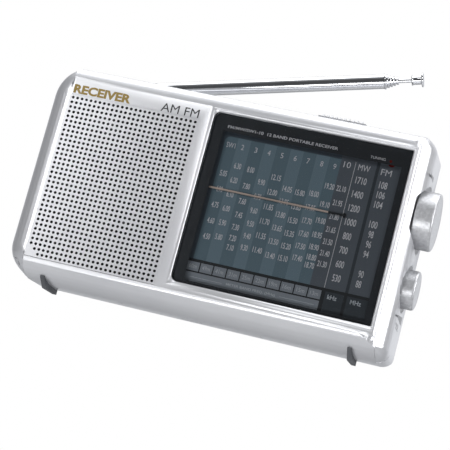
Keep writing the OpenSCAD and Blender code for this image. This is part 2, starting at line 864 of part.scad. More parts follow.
module battery_springs() {
    color("silver") placed() {
        translate([door_x + 2.6, cell_y, cell_z]) rotate([0, 90, 0]) difference() {
            cylinder(r1 = 5, r2 = 3, h = 1.8);
            translate([0, 0, -1]) cylinder(r = 2.2, h = 4);
        }
        translate([door_x + 4.5 + cell_l - 0.4, cell_y, cell_z + 2 * cell_r + 0.6]) rotate([0, 90, 0])
            difference() {
                cylinder(r1 = 3, r2 = 5, h = 3.4);
                translate([0, 0, -1]) cylinder(r = 2.2, h = 6);
            }
    }
}

module battery_plates() {
    color("silver") placed() {
        block([door_x - 0.7, 2.5, 6], [door_x - 0.1, 12.5, 35]);
        block([door_x + door_w + 0.1, 2.5, 6], [door_x + door_w + 0.7, 12.5, 35]);
    }
}

module earphone_jack() {
    color("dimgray") placed() difference() {
        union() {
            x_rod(0.5, 5, 44, 3, 4);
            block([4.2, 1, 40], [15, 9, 48]);
        }
        x_rod(-1, 5, 44, 1.8, 14);
    }
}

module power_jack() {
    color("dimgray") placed() {
        difference() {
            union() {
                x_rod(0.5, 5, 58, 3.5, 4);
                block([4.2, 0.6, 53.6], [15, 9.4, 62.4]);
            }
            x_rod(-1, 5, 58, 2.9, 12);
        }
        x_rod(2.5, 5, 58, 1, 9);
    }
}

front_cabinet();
rear_cabinet();
speaker_grille();
dial_window();
battery_door();
feet();
case_screws();
dial_scale();
tuning_lamp();
dial_chassis();
dial_pointer();
pointer_carriage();
guide_rod();
pulley_right();
pulley_left();
pulley_axles();
dial_drum();
capacitor_shaft();
tuning_capacitor();
dial_cord();
tuning_knob();
tuning_shaft();
volume_knob();
volume_shaft();
volume_pot();
band_slider();
band_switch();
aerial_swivel();
aerial_hinge_pin();
aerial_tube_1();
aerial_tube_2();
aerial_tube_3();
aerial_tube_4();
aerial_tube_5();
aerial_rod();
aerial_tip();
aerial_screw();
aerial_lug();
speaker_frame();
speaker_magnet();
speaker_cone();
speaker_clamps();
main_board();
ferrite_rod();
ferrite_coil();
ferrite_holders();
if_transformers();
radio_chips();
electrolytics();
batteries();
battery_springs();
battery_plates();
earphone_jack();
power_jack();
wiring();
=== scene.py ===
"""Portable shortwave receiver: the looks round its CAD frame.

Lengths are millimetres until place() turns them into the frame's metres. x is counted
from the left face of the case, y from the middle of its depth with the front at -Y, and
z from a plane 2.8 mm under the case, as in the CAD source.
"""

import math

import bmesh
import bpy
from mathutils import Matrix, Vector


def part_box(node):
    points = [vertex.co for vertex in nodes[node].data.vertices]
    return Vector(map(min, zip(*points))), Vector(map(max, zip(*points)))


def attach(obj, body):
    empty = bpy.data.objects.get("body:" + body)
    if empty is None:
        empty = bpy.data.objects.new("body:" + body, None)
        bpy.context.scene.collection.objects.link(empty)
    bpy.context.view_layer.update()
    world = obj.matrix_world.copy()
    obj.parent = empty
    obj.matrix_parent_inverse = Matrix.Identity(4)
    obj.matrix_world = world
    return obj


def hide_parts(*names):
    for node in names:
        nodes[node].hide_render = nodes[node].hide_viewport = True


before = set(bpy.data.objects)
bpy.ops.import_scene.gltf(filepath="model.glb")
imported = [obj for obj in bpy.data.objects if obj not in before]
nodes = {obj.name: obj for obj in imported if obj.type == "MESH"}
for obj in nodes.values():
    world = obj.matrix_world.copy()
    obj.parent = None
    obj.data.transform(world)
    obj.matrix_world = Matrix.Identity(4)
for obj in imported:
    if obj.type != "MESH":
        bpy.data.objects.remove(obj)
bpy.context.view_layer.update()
scene = bpy.context.scene

MM = 0.001
SMOOTH_BELOW = 32  # degrees between faces that shade as one surface

# Planes and sizes that several pieces share, in case millimetres
CASE_W = 163.0
CASE_LOW, CASE_TOP = 2.8, 94.1
FRONT = -16.5
BEZEL_FRONT = -17.0
WINDOW_BACK = -15.5
DIAL_FRONT = -12.5
INK = 0.02  # thickness of a printed layer
LETTER_THICK = 0.03

# Where the frame has the left face of the case and the plane that z counts from
LEFT_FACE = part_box("front_cabinet")[0].x
Z_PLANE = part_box("front_cabinet")[0].z - CASE_LOW * MM


# ---------- camera ----------

CAMERA_PLACE = (0.16426, -0.62698, -0.06950)  # metres
CAMERA_RIGHT = Vector((0.94567, 0.20221, 0.25459))
CAMERA_UP = Vector((-0.20797, -0.22570, 0.95174))
LENS, SENSOR = 128, 36


def set_camera():
    """A long lens from the lower right, rolled so that the set leans to the right."""
    data = bpy.data.cameras.new("camera")
    data.lens = LENS
    data.sensor_width = SENSOR
    data.clip_start = 0.01
    camera = bpy.data.objects.new("camera", data)
    scene.collection.objects.link(camera)
    turn = Matrix((CAMERA_RIGHT, CAMERA_UP, CAMERA_RIGHT.cross(CAMERA_UP))).transposed()
    camera.matrix_world = Matrix.Translation(CAMERA_PLACE) @ turn.to_4x4()
    scene.camera = camera


# ---------- making meshes ----------

def place(bm):
    """Case millimetres to the frame's metres."""
    bmesh.ops.scale(bm, vec=(MM, MM, MM), verts=bm.verts)
    bmesh.ops.translate(bm, vec=(LEFT_FACE, 0, Z_PLANE), verts=bm.verts)


def piece(name, bm, materials, body, stands_for=(), smooth=SMOOTH_BELOW, placed=False):
    """A finished object from a bmesh: it rides on a body and may stand for CAD nodes."""
    if not placed:
        place(bm)
    mesh = bpy.data.meshes.new(name)
    bm.to_mesh(mesh)
    bm.free()
    for material in materials if isinstance(materials, list) else [materials]:
        mesh.materials.append(material)
    mesh.shade_smooth()
    mesh.set_sharp_from_angle(angle=math.radians(smooth))
    made = bpy.data.objects.new(name, mesh)
    scene.collection.objects.link(made)
    made.modifiers.new("even_shading", "WEIGHTED_NORMAL").keep_sharp = True
    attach(made, body)
    if stands_for:
        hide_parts(*stands_for)
    return made


def from_cad(node):
    """The merged shape of a CAD node, in metres, to be worked on further."""
    bm = bmesh.new()
    bm.from_mesh(nodes[node].data)
    bmesh.ops.remove_doubles(bm, verts=bm.verts, dist=2e-6)
    return bm


def join(bm, part):
    """Add one bmesh to another."""
    mesh = bpy.data.meshes.new("part")
    part.to_mesh(mesh)
    part.free()
    bm.from_mesh(mesh)
    bpy.data.meshes.remove(mesh)


def block(low, high):
    """A box between two corners."""
    bm = bmesh.new()
    bmesh.ops.create_cube(bm, size=1)
    low, high = Vector(low), Vector(high)
    bmesh.ops.scale(bm, vec=high - low, verts=bm.verts)
    bmesh.ops.translate(bm, vec=(low + high) / 2, verts=bm.verts)
    return bm


def quarter_turn(bm, axis):
    """Turn a bmesh 90 degrees round an axis through the origin."""
    bmesh.ops.rotate(bm, cent=(0, 0, 0), matrix=Matrix.Rotation(math.pi / 2, 3, axis),
                     verts=bm.verts)


def everything(bm):
    """All of a bmesh, for an operator that takes its geometry."""
    return bm.verts[:] + bm.edges[:] + bm.faces[:]


def points(geometry):
    """The vertices in what an operator returns."""
    return [item for item in geometry if isinstance(item, bmesh.types.BMVert)]


def slab(x0, x1, z0, z1, front, thick, corners=(0, 0, 0, 0)):
    """A thin upright panel whose corners, from the top left clockwise, are rounded."""
    bm = bmesh.new()
    spots = [(x0, z1), (x1, z1), (x1, z0), (x0, z0)]
    loop = [bm.verts.new((x, front, z)) for x, z in spots]
    bm.faces.new(loop)
    for vert, radius in zip(loop, corners):
        if radius:
            bmesh.ops.bevel(bm, geom=[vert], offset=radius, offset_type="OFFSET",
                            segments=8, profile=0.5, affect="VERTICES", material=-1)
    back = bmesh.ops.extrude_face_region(bm, geom=bm.faces[:])["geom"]
    bmesh.ops.translate(bm, vec=(0, thick, 0), verts=points(back))
    bmesh.ops.recalc_face_normals(bm, faces=bm.faces)
    return bm


def frame_slab(outer, inner, front, thick, outer_corners, inner_corners):
    """A thin upright panel with a window in it."""
    bm = slab(*outer, front, thick, outer_corners)
    hole = slab(*inner, front, thick, inner_corners)
    for part in (bm, hole):
        bmesh.ops.delete(part, geom=[f for f in part.faces if abs(f.normal.y) > 0.5],
                         context="FACES_ONLY")
    bmesh.ops.reverse_faces(hole, faces=hole.faces)
    join(bm, hole)
    for y in (front, front + thick):
        edges = [e for e in bm.edges if e.is_boundary
                 and all(abs(v.co.y - y) < 1e-4 for v in e.verts)]
        bmesh.ops.triangle_fill(bm, edges=edges, use_beauty=True, use_dissolve=False)
    bmesh.ops.recalc_face_normals(bm, faces=bm.faces)
    return bm


def turned(profile, steps):
    """A shape of revolution round the X axis from (along, radius) points."""
    bm = bmesh.new()
    line = [bm.verts.new((along, 0, radius)) for along, radius in profile]
    edges = [bm.edges.new(pair) for pair in zip(line, line[1:])]
    bmesh.ops.spin(bm, geom=line + edges, cent=(0, 0, 0), axis=(1, 0, 0), dvec=(0, 0, 0),
                   angle=math.tau, steps=steps, use_merge=True, use_duplicate=False)
    bmesh.ops.remove_doubles(bm, verts=bm.verts, dist=1e-4)
    bmesh.ops.recalc_face_normals(bm, faces=bm.faces)
    return bm


def lettering(words, x, z, height, width, front, side="front", bold=0.0):
    """Ink letters centred on a place, with their whole height and width. Letters on the
    right side of the case have x along its depth and front as the side's own x."""
    curve = bpy.data.curves.new("letters", "FONT")
    curve.body = words
    curve.offset = bold
    curve.resolution_u = 3
    curve.extrude = 0.5
    text = bpy.data.objects.new("letters", curve)
    scene.collection.objects.link(text)
    bpy.context.view_layer.update()
    mesh = bpy.data.meshes.new_from_object(
        text.evaluated_get(bpy.context.evaluated_depsgraph_get()))
    bpy.data.objects.remove(text)
    bm = bmesh.new()
    bm.from_mesh(mesh)
    bpy.data.meshes.remove(mesh)
    low = Vector([min(v.co[k] for v in bm.verts) for k in range(3)])
    high = Vector([max(v.co[k] for v in bm.verts) for k in range(3)])
    size = high - low
    bmesh.ops.translate(bm, vec=-(low + high) / 2, verts=bm.verts)
    bmesh.ops.scale(bm, vec=(width / size.x, height / size.y, LETTER_THICK / size.z),
                    verts=bm.verts)
    quarter_turn(bm, "X")
    centre = (x, front - LETTER_THICK / 2, z)
    if side == "right":
        quarter_turn(bm, "Z")
        centre = (front + LETTER_THICK / 2, x, z)
    bmesh.ops.translate(bm, vec=centre, verts=bm.verts)
    bmesh.ops.remove_doubles(bm, verts=bm.verts, dist=1e-4)
    return bm


# ---------- materials ----------

def linear(code):
    """An sRGB hex colour as linear red, green, blue and alpha."""
    parts = [int(code[k:k + 2], 16) / 255 for k in (1, 3, 5)]
    return tuple(c / 12.92 if c <= 0.04045 else ((c + 0.055) / 1.055) ** 2.4
                 for c in parts) + (1.0,)


def per_mm(size):
    """A texture scale on Object coordinates whose features are size millimetres."""
    return 1 / (size * MM)


def add(tree, kind, inputs=None, **settings):
    """Add a node with its settings; inputs hold constants, or sockets to link from."""
    node = tree.nodes.new("ShaderNode" + kind)
    for name, value in settings.items():
        setattr(node, name, value)
    for name, value in (inputs or {}).items():
        if isinstance(value, bpy.types.NodeSocket):
            tree.links.new(value, node.inputs[name])
        else:
            node.inputs[name].default_value = value
    return node


def surface(name, dark, light, rough, spread=0.04, mottle=6.0, grain=0.4, depth=0.01,
            stretch=(1, 1, 1), edge=0.0, **shader):
    """A finish whose colour drifts between two tones over mottle millimetres, with a
    surface grain of the given size and depth in millimetres. stretch draws the grain out
    along an axis, and edge is the radius that corners catch the light with."""
    material = bpy.data.materials.new(name)
    material.use_nodes = True
    tree = material.node_tree
    tree.nodes.clear()
    spot = add(tree, "TexCoord").outputs["Object"]
    drift = add(tree, "TexNoise", {"Vector": spot, "Scale": per_mm(mottle), "Detail": 3.0})
    drawn = add(tree, "Mapping", {"Vector": spot, "Scale": stretch})
    fine = add(tree, "TexNoise", {"Vector": drawn.outputs["Vector"],
                                  "Scale": per_mm(grain), "Detail": 2.0})
    tone = add(tree, "ValToRGB", {"Fac": drift.outputs["Fac"]})
    tone.color_ramp.elements[0].position = 0.3
    tone.color_ramp.elements[0].color = linear(dark)
    tone.color_ramp.elements[1].position = 0.7
    tone.color_ramp.elements[1].color = linear(light)
    dull = add(tree, "MapRange", {"Value": fine.outputs["Fac"], "To Min": rough - spread,
                                  "To Max": rough + spread})
    inputs = {"Height": fine.outputs["Fac"], "Distance": depth * MM, "Strength": 1.0}
    if edge:
        inputs["Normal"] = add(tree, "Bevel", {"Radius": edge * MM}, samples=4).outputs[0]
    bump = add(tree, "Bump", inputs)
    main = add(tree, "BsdfPrincipled", {"Base Color": tone.outputs["Color"],
                                        "Roughness": dull.outputs["Result"],
                                        "Normal": bump.outputs["Normal"], **shader})
    add(tree, "OutputMaterial", {"Surface": main.outputs["BSDF"]})
    return material


def make_materials():
    """Every finish, named for what it is and how it was made."""
    made = {}
    # Aluminium-pigment lacquer sprayed on moulded ABS: a soft sheen with fine flakes
    made["silver_case"] = surface("sprayed_silver_lacquer", "#cbccd0", "#d2d3d6", 0.3,
                                  mottle=30, grain=0.25, depth=0.004, edge=0.25,
                                  Metallic=0.55, **{"Coat Weight": 0.25, "Coat Roughness": 0.2})
    # The bare black ABS of the hole walls and the inside: matt and dark, near black also as
    # painted shade deep in the grille holes
    made["bare_abs"] = surface("bare_black_abs_painted_hole_shade", "#0c0c0d", "#141416", 0.6)
    # Chrome on drawn brass tube: mirror-like with the faintest drawing lines
    made["aerial_chrome"] = surface("chromed_brass_tube", "#d5d6d8", "#e2e3e5", 0.07,
                                    spread=0.02, grain=0.3, depth=0.0006,
                                    stretch=(0.05, 1, 1), Metallic=1.0)
    # Satin lacquer sprayed on moulded ABS knobs: silver with a visible grain
    made["silver_knob"] = surface("satin_sprayed_knob", "#b4b5b8", "#cfd0d3", 0.34,
                                  spread=0.1, mottle=1.2, grain=0.4, depth=0.06,
                                  Metallic=0.6)
    # Screen-printed black on the back of the window: deep and even
    made["window_ink"] = surface("screen_printed_black", "#14181d", "#191e24", 0.45)
    # Dial card inks: matt screen prints in grey greens, greys and black
    for name, code in {"dial_black": "#0f1317", "dial_edge": "#465059",
                       "dial_teal": "#5f747e", "dial_teal_light": "#6e838d",
                       "dial_grey": "#575d64", "dial_line": "#2f363c",
                       "dial_box": "#8b9096", "dial_white": "#dcdadc",
                       "header_grey": "#c2c6ca", "gold_ink": "#8a7436",
                       "black_ink": "#202124", "mark_ink": "#8c8d90"}.items():
        made[name] = surface(name, code, code, 0.55, mottle=4, grain=0.3, depth=0.002)
    # Rubber feet: dark grey and dull
    made["rubber"] = surface("moulded_rubber", "#4c4e52", "#5a5c60", 0.7, grain=0.5, depth=0.02)
    # Steel, zinc plated, bright plated or drawn: a cold cast, from dull to bright
    made["screw_steel"] = surface("zinc_plated_steel", "#8d9094", "#a4a7ab", 0.3, Metallic=1.0)
    made["plated_steel"] = surface("bright_plated_steel", "#a8abae", "#bcbfc2", 0.25,
                                   Metallic=1.0)
    made["bright_steel"] = surface("drawn_steel", "#a5a8ab", "#b8bbbe", 0.2, Metallic=1.0,
                                   stretch=(1, 1, 0.1))
    # Brass stamped from sheet: warm and half bright
    made["brass"] = surface("stamped_brass", "#a8894a", "#b99a58", 0.3, Metallic=1.0)
    # Lamp cap moulded in red-tinted polycarbonate: glossy
    made["red_lamp"] = surface("tinted_lamp_cap", "#6e1a14", "#822019", 0.15)
    # Parts moulded in black ABS, cream styrene and white acetal: even and half dull
    made["black_moulding"] = surface("moulded_black_abs", "#17181a", "#202124", 0.5)
    made["pointer_cream"] = surface("moulded_cream_styrene", "#cdb6a8", "#d8c2b4", 0.4,
                                    grain=0.2)
    made["white_moulding"] = surface("moulded_acetal", "#d9d7cf", "#e4e2da", 0.4)
    # Braided nylon cord: pale, dull and ribbed
    made["dial_cord"] = surface("braided_dial_cord", "#b6aa85", "#cabf9a", 0.8, grain=0.3,
                                depth=0.05)
    # Pressed and fired ferrite, and pressed paper: dark and dull
    made["ferrite"] = surface("pressed_ferrite", "#2b2b2d", "#363639", 0.55, grain=0.4)
    made["paper_cone"] = surface("pressed_paper_cone", "#0c0c0c", "#151515", 0.9, grain=0.6,
                                 depth=0.03)
    # Solder mask on glass fibre board: green and smooth
    made["board_green"] = surface("solder_masked_board", "#1b4a2c", "#225636", 0.35)
    # Enamelled copper wound in close turns: brown metal, ribbed round the rod
    made["copper_wire"] = surface("enamelled_copper_wire", "#8a4a22", "#a35b2c", 0.35,
                                  Metallic=0.9, grain=0.3, stretch=(3, 1, 1), depth=0.03)
    # Deep-drawn aluminium cans: pale metal with a soft sheen
    made["can_aluminium"] = surface("drawn_aluminium_can", "#b2b4b6", "#c3c5c7", 0.3,
                                    Metallic=1.0)
    # Plastic sleeves, shrunk on, printed or extruded: coloured and half glossy
    made["blue_sleeve"] = surface("shrunk_blue_sleeve", "#1d3f66", "#264c77", 0.35)
    made["cell_jacket"] = surface("printed_cell_jacket", "#9a7b2c", "#ad8c37", 0.3,
                                  Metallic=0.6)
    made["red_wire"] = surface("pvc_wire_sleeve", "#8c1f1b", "#a02620", 0.45)
    made["clear_window"] = clear_acrylic()
    return made


def clear_acrylic():
    """Moulded clear acrylic: it shows what lies behind, under a glossy skin."""
    material = bpy.data.materials.new("moulded_clear_acrylic")
    material.use_nodes = True
    tree = material.node_tree
    tree.nodes.clear()
    gloss = add(tree, "BsdfPrincipled", {"Base Color": (0.02, 0.022, 0.025, 1),
                                         "Roughness": 0.04, "IOR": 1.49})
    clear = add(tree, "BsdfTransparent", {"Color": (0.95, 0.96, 0.97, 1)})
    skin = add(tree, "Fresnel", {"IOR": 1.49})
    mixed = add(tree, "MixShader", {0: skin.outputs[0], 1: clear.outputs[0],
                                    2: gloss.outputs[0]})
    add(tree, "OutputMaterial", {"Surface": mixed.outputs[0]})
    return material


# ---------- case ----------

CORNER_LEFT, CORNER_RIGHT = 13.0, 5.5
# How each edge rounds off at the front and the rear, as its depth and how far it draws in:
# left, right, top and the belly
ROUND_FRONT = ((10, 10), (12, 12), (6, 6), (20, 8))
ROUND_REAR = ((8, 8), (4, 4), (8, 8), (8, 8))
MIN_CORNER = 0.8
CORNER_STEPS = 12
DEPTH_STEPS = 48
# The zones of the case's corners, which keep clear of its openings, and how far the cutters
# reach past the case
ZONE_LEFT, ZONE_RIGHT, ZONE_LOW, ZONE_TOP, ZONE_BACK = 9.2, CASE_W - 4.8, 16.0, 81.2, 7.0
PAST = 5.0
# The lining that closes the wall behind the smooth corners
LINING_SKIN, LINING_WALL, LINING_REAR = 0.04, 1.2, -0.2


def rounding(edge, depth):
    """How far an elliptical edge draws in at a depth behind its face."""
    reach, draw = edge
    t = max(0.0, 1 - depth / reach)
    return draw * (1 - math.sqrt(max(0.0, 1 - t * t)))


def case_ring(bm, y, back):
    """The outline of the case at one depth, drawn back a little on every side."""
    left, right, top, low = [
        back + rounding(front_edge, y - FRONT) + rounding(rear_edge, -FRONT - y)
        for front_edge, rear_edge in zip(ROUND_FRONT, ROUND_REAR)]
    ring = []
    for sx, sz, r, dx, dz in ((1, 1, CORNER_RIGHT, right, top),
                              (-1, 1, CORNER_LEFT, left, top),
                              (-1, -1, CORNER_LEFT, left, low),
                              (1, -1, CORNER_RIGHT, right, low)):
        rx, rz = max(r - dx, MIN_CORNER), max(r - dz, MIN_CORNER)
        cx = (CASE_W - dx - rx) if sx > 0 else dx + rx
        cz = (CASE_TOP - dz - rz) if sz > 0 else CASE_LOW + dz + rz
        for k in range(CORNER_STEPS + 1):
            share = (k if sx * sz > 0 else CORNER_STEPS - k) / CORNER_STEPS
            turn = share * math.pi / 2
            ring.append(bm.verts.new((cx + sx * rx * math.cos(turn), y,
                                      cz + sz * rz * math.sin(turn))))
    return ring


def case_body(back):
    """The whole case as one smooth closed body, lofted through its outlines."""
    bm = bmesh.new()
    half = -FRONT - back
    depths = [-half * math.cos(math.pi * k / DEPTH_STEPS) for k in range(DEPTH_STEPS + 1)]
    rings = [case_ring(bm, y, back) for y in depths]
    edges = [[bm.edges.new(pair) for pair in zip(ring, ring[1:] + ring[:1])]
             for ring in rings]
    for near, far in zip(edges, edges[1:]):
        bmesh.ops.bridge_loops(bm, edges=near + far)
    for loop in (edges[0], edges[-1]):
        bmesh.ops.edgeloop_fill(bm, edges=loop)
    bmesh.ops.recalc_face_normals(bm, faces=bm.faces)
    place(bm)
    return bm


def combined(bm, other, operation):
    """Boolean of two bmeshes, in metres."""
    made = []
    for part in (bm, other):
        mesh = bpy.data.meshes.new("part")
        part.to_mesh(mesh)
        part.free()
        made.append(bpy.data.objects.new("part", mesh))
        scene.collection.objects.link(made[-1])
    cut = made[0].modifiers.new("cut", "BOOLEAN")
    cut.operation, cut.solver, cut.object = operation, "EXACT", made[1]
    bpy.context.view_layer.update()
    mesh = bpy.data.meshes.new_from_object(
        made[0].evaluated_get(bpy.context.evaluated_depsgraph_get()))
    for part in made:
        bpy.data.objects.remove(part)
    result = bmesh.new()
    result.from_mesh(mesh)
    bpy.data.meshes.remove(mesh)
    return result


def corner_blocks():
    """Boxes round the four long corners of the case, clear of its openings."""
    bm = bmesh.new()
    for x0, x1 in ((-PAST, ZONE_LEFT), (ZONE_RIGHT, CASE_W + PAST)):
        for z0, z1 in ((-PAST, ZONE_LOW), (ZONE_TOP, CASE_TOP + PAST)):
            join(bm, block((x0, FRONT - PAST, z0), (x1, ZONE_BACK, z1)))
    place(bm)
    return bm


def corner_lining():
    """Wall behind the smooth corners of the front cabinet, up to its parting line."""
    wall = combined(case_body(LINING_SKIN), case_body(LINING_WALL), "DIFFERENCE")
    lining = combined(wall, corner_blocks(), "INTERSECT")
    bmesh.ops.bisect_plane(lining, geom=everything(lining), dist=1e-7,
                           plane_co=(0, LINING_REAR * MM, 0), plane_no=(0, 1, 0),
                           clear_outer=True)
    bmesh.ops.holes_fill(lining, edges=[e for e in lining.edges if e.is_boundary])
    return lining


def make_case():
    """Both cabinets, the battery door and the feet."""
    # What stands past the smooth body at the corners is cut off the front cabinet
    away = combined(corner_blocks(), case_body(0), "DIFFERENCE")
    front = combined(from_cad("front_cabinet"), away, "DIFFERENCE")
    piece("front_case", front, M["silver_case"], "case", ["front_cabinet"],
          placed=True)
    piece("corner_backing", corner_lining(), M["silver_case"], "case",
          placed=True)
    piece("rear_case", from_cad("rear_cabinet"), M["silver_case"], "case",
          ["rear_cabinet"], placed=True)
    piece("battery_cover", from_cad("battery_door"), M["silver_case"], "door",
          ["battery_door"], placed=True)
    piece("rubber_feet", from_cad("feet"), M["rubber"], "case", ["feet"],
          placed=True)


HOLE_PITCH, ROW_PITCH = 2.0, 2.05
HOLE_R = 0.6
HOLE_COLS, HOLE_ROWS = 28, 34
HOLE_SIDES = 12
GRILLE_LEFT, GRILLE_TOP = 11.0, 80.0  # middle of the first hole
GRILLE_BOX = (9.4, 66.6, 11.0, 81.6)  # left, right, low and top of the panel
NO_HOLE = ((0, 1), (0, 0), (1, 0))  # columns and rows from the lower left, where it rounds
CASE_WALL = 2.0
CLOTH_BOX = (10, 66, 11.5, 81)
NEAR = 1e-3


def make_grille():
    """One square cell with a round hole, repeated over the panel, then given thickness."""
    bm = bmesh.new()
    bmesh.ops.create_circle(bm, segments=HOLE_SIDES, radius=HOLE_R)
    rim = bmesh.ops.create_circle(bm, segments=HOLE_SIDES, radius=1)["verts"]
    bmesh.ops.rotate(bm, cent=(0, 0, 0),
                     matrix=Matrix.Rotation(math.pi / HOLE_SIDES, 3, "Z"), verts=bm.verts)
    for v in rim:
        v.co *= HOLE_PITCH / 2 / max(abs(v.co.x), abs(v.co.y))
        v.co.y *= ROW_PITCH / HOLE_PITCH
    bmesh.ops.bridge_loops(bm, edges=bm.edges[:])
    quarter_turn(bm, "X")
    bmesh.ops.translate(bm, vec=(GRILLE_LEFT, FRONT, GRILLE_TOP), verts=bm.verts)
    for count, step in ((HOLE_COLS, (HOLE_PITCH, 0, 0)), (HOLE_ROWS, (0, 0, -ROW_PITCH))):
        one = everything(bm)
        for k in range(1, count):
            copy = bmesh.ops.duplicate(bm, geom=one)["geom"]
            bmesh.ops.translate(bm, vec=Vector(step) * k, verts=points(copy))
    bmesh.ops.remove_doubles(bm, verts=bm.verts, dist=NEAR)
    for col, row in NO_HOLE:
        centre = Vector((GRILLE_LEFT + col * HOLE_PITCH, FRONT,
                         GRILLE_TOP - (HOLE_ROWS - 1 - row) * ROW_PITCH))
        ring = [e for e in bm.edges if e.is_boundary
                and (e.verts[0].co - centre).length < HOLE_R + 0.05]
        bmesh.ops.edgeloop_fill(bm, edges=ring)
    x0, x1 = [GRILLE_LEFT + (k - 0.5) * HOLE_PITCH for k in (0, HOLE_COLS)]
    z0, z1 = [GRILLE_TOP - (k - 0.5) * ROW_PITCH for k in (HOLE_ROWS, 0)]
    outer = [e for e in bm.edges if e.is_boundary and all(
        min(abs(v.co.x - x0), abs(v.co.x - x1), abs(v.co.z - z0), abs(v.co.z - z1)) < NEAR
        for v in e.verts)]
    border = bmesh.ops.extrude_edge_only(bm, edges=outer)["geom"]
    for v in points(border):
        for axis, old, new in zip((0, 0, 2, 2), (x0, x1, z0, z1), GRILLE_BOX):
            if abs(v.co[axis] - old) < NEAR:
                v.co[axis] = new
    bmesh.ops.recalc_face_normals(bm, faces=bm.faces)
    if sum(f.normal.y for f in bm.faces) > 0:
        bmesh.ops.reverse_faces(bm, faces=bm.faces)
    bmesh.ops.solidify(bm, geom=bm.faces[:], thickness=CASE_WALL)
    # Hole walls and back faces take the near-black ABS: partly unpainted moulding, partly painted
    # shade in the deep holes
    for f in bm.faces:
        f.material_index = 0 if f.normal.y < -0.9 else 1
    piece("grille_panel", bm, [M["silver_case"], M["bare_abs"]], "case",
          ["speaker_grille"])
    cloth = slab(*CLOTH_BOX, FRONT + CASE_WALL + 0.03, 0.1)
    piece("grille_cloth", cloth, M["paper_cone"], "case")


def make_case_print():
    """The words over the grille, and the marks by the knobs on the right side."""
    gold = lettering("RECEIVER", 23.0, 83.9, height=3.9, width=25.4, front=FRONT, bold=0.045)
    piece("gold_word", gold, M["gold_ink"], "case")
    black = lettering("AM FM", 57.5, 83.6, height=3.6, width=16.4, front=FRONT)
    piece("band_word", black, M["black_ink"], "case")
    marks = lettering("VOL", -1.0, 18.4, height=2.6, width=8.5, front=CASE_W, side="right",
                      bold=0.01)
    join(marks, side_wedge(-9, 8, z=22.2, thin=0.3, tall=3.4))
    join(marks, side_wedge(-12, 0, z=80.0, thin=0.2, tall=2.2))
    piece("side_marks", marks, M["mark_ink"], "case")


def side_wedge(y0, y1, z, thin, tall):
    """An ink wedge on the right side, growing from thin to tall."""
    bm = slab(y0, y1, z - tall / 2, z + tall / 2, 0, INK)
    for v in bm.verts:
        if v.co.x < (y0 + y1) / 2:
            v.co.z = z + math.copysign(thin / 2, v.co.z - z)
    quarter_turn(bm, "Z")
    bmesh.ops.translate(bm, vec=(CASE_W + INK, 0, 0), verts=bm.verts)
    return bm


# ---------- window and dial ----------

# The window and the clear field in its black border: left, right, low and top, then the
# radii of the corners from the top left clockwise
WINDOW, WINDOW_CORNERS = (72.2, 155.1, 14.4, 86.4), (3, 0.5, 0.5, 3)
BORDER = (72.3, 155.0, 14.5, 86.3)
CLEAR, CLEAR_CORNERS = (77.3, 151.8, 15.7, 79.0), (0, 0, 0, 2)
LAMP_X, LAMP_Z, LAMP_R = 147.0, 80.4, 0.55


def make_window():
    """The clear lens with the border, words and lamp that show through it."""
    lens = slab(*WINDOW, BEZEL_FRONT, WINDOW_BACK - BEZEL_FRONT, WINDOW_CORNERS)
    sharp = [e for e in lens.edges if len(e.link_faces) == 2 and e.calc_face_angle() > 1]
    bmesh.ops.bevel(lens, geom=sharp, offset=0.25, segments=2, profile=0.5,
                    affect="EDGES", material=-1)
    piece("window_lens", lens, M["clear_window"], "case", ["dial_window"])
    border = frame_slab(BORDER, CLEAR, WINDOW_BACK + 0.05, 0.04, WINDOW_CORNERS,
                        CLEAR_CORNERS)
    piece("window_border", border, M["window_ink"], "case")
    front = WINDOW_BACK + 0.045
    words = lettering("FM/MW/SW1-10  12 BAND PORTABLE RECEIVER", 101.9, 81.2, height=1.25,
                      width=46.5, front=front, bold=0.015)
    join(words, lettering("TUNING", 141.7, 80.7, height=1.1, width=6.2, front=front))
    piece("window_words", words, M["dial_white"], "case")
    lamp = turned([(0, 0), (0, LAMP_R), (LETTER_THICK, LAMP_R), (LETTER_THICK, 0)], 24)
    quarter_turn(lamp, "Z")
    bmesh.ops.translate(lamp, vec=(LAMP_X, front - LETTER_THICK, LAMP_Z), verts=lamp.verts)
    piece("lamp_window", lamp, M["red_lamp"], "case")


# Heights of the headings of the short wave columns and of the three others
SHORT_HEAD, LONG_HEAD = 74.5, 76.2
HEAD_WIDTH = {"SW1": 3.8, "10": 2.9, "MW": 4.8, "FM": 4.3}
DIGIT_HEAD = 1.2
# Dial columns: heading, x of its middle, heights of the first and last figures, how far the
# middle figures bunch towards the bottom, and the figures
DIAL_COLUMNS = [
    ("SW1", 81.1, 62.4, 35.6, 0, "5.05 4.90 4.75 4.60 4.50"),
    ("2", 86.1, 66.5, 36.4, 0, "6.30 6.20 6.10 6.00 5.90 5.80"),
    ("3", 91.8, 66.1, 33.1, 0.33, "8.00 7.80 7.60 7.45 7.30 7.20 7.10"),
    ("4", 97.4, 62.0, 34.3, 0.15, "9.90 9.75 9.60 9.50 9.40 9.30"),
    ("5", 102.9, 65.1, 34.5, 0.03, "12.15 12.00 11.85 11.70 11.55 11.40"),
    ("6", 108.5, 61.4, 33.5, -0.05, "14.05 13.95 13.80 13.65 13.50 13.40"),
    ("7", 113.9, 61.0, 33.5, 0.1, "15.80 15.65 15.50 15.35 15.20 15.10"),
    ("8", 119.6, 61.8, 34.9, 0.1, "18.00 17.85 17.70 17.60 17.50 17.40"),
    ("9", 125.0, 66.1, 33.1, 0.47, "19.20 19.10 19.00 18.95 18.90 18.80 18.70"),
    ("10", 129.8, 66.1, 34.7, 0.18, "22.10 21.95 21.80 21.65 21.50 21.40 21.30"),
    ("MW", 136.8, 70.9, 30.4, 0, "1710 1400 1200 1000 800 700 600 530"),
    ("FM", 145.9, 70.9, 30.0, 0, "108 106 104 100 98 96 94 90 88"),
]
METER_BANDS = "60m 49m 41m 31m 25m 22m 19m 16m 15m 13m".split()
